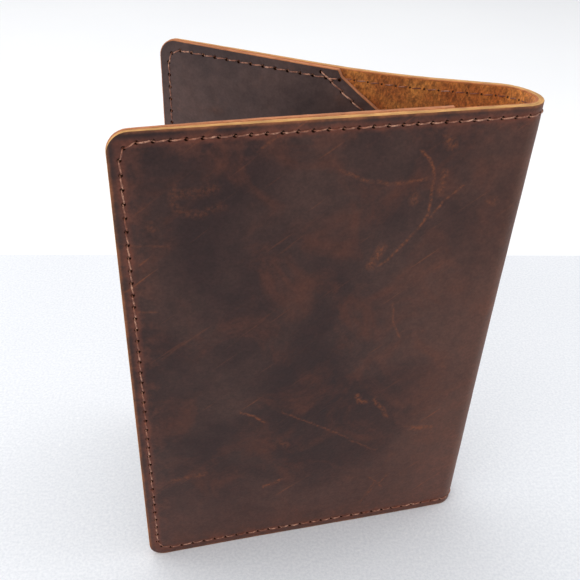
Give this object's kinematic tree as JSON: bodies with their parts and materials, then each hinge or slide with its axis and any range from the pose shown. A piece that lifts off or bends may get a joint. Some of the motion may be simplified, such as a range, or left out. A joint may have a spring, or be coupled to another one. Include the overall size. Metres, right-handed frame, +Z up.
{
  "type": "passport holder",
  "caption": "Folding leather passport holder with a sewn slot pocket inside each cover, standing half open on its lower edges.",
  "frame": {"origin": "on the standing surface, under the middle of the bounding box", "axes": "+X along the back cover towards the spine, +Y from the back cover towards the front cover, +Z up along the spine"},
  "size_m": [0.1026, 0.061, 0.142],
  "materials": {
    "outer_leather": "waxed pull-up leather, scuffed",
    "pocket_leather": "waxed pull-up leather, grain side to the passport",
    "seam_thread": "waxed thread"
  },
  "bodies": {
    "back_cover": {"back_leather": "outer_leather", "back_pocket": "pocket_leather", "back_seam_thread_a": "seam_thread", "back_seam_thread_b": "seam_thread", "back_mouth_thread_a": "seam_thread", "back_mouth_thread_b": "seam_thread"},
    "spine": {"spine_leather": "outer_leather", "spine_seam_thread_a": "seam_thread", "spine_seam_thread_b": "seam_thread"},
    "front_cover": {"front_leather": "outer_leather", "front_pocket": "pocket_leather", "front_seam_thread_a": "seam_thread", "front_seam_thread_b": "seam_thread", "front_mouth_thread_a": "seam_thread", "front_mouth_thread_b": "seam_thread"}
  },
  "joints": [
    {"name": "back_fold", "type": "hinge", "parent": "back_cover", "child": "spine", "pos_m": [0.04885, -0.02924, 0], "axis": [0, 0, -1], "range_deg": [-13.4, 67.4]},
    {"name": "front_fold", "type": "hinge", "parent": "spine", "child": "front_cover", "pos_m": [0.0506, -0.01979, 0], "axis": [0, 0, -1], "range_deg": [-15.6, 78.2]}
  ],
  "couplings": [
    {"joint": "front_fold", "follows": "back_fold", "ratio": 1.16}
  ]
}
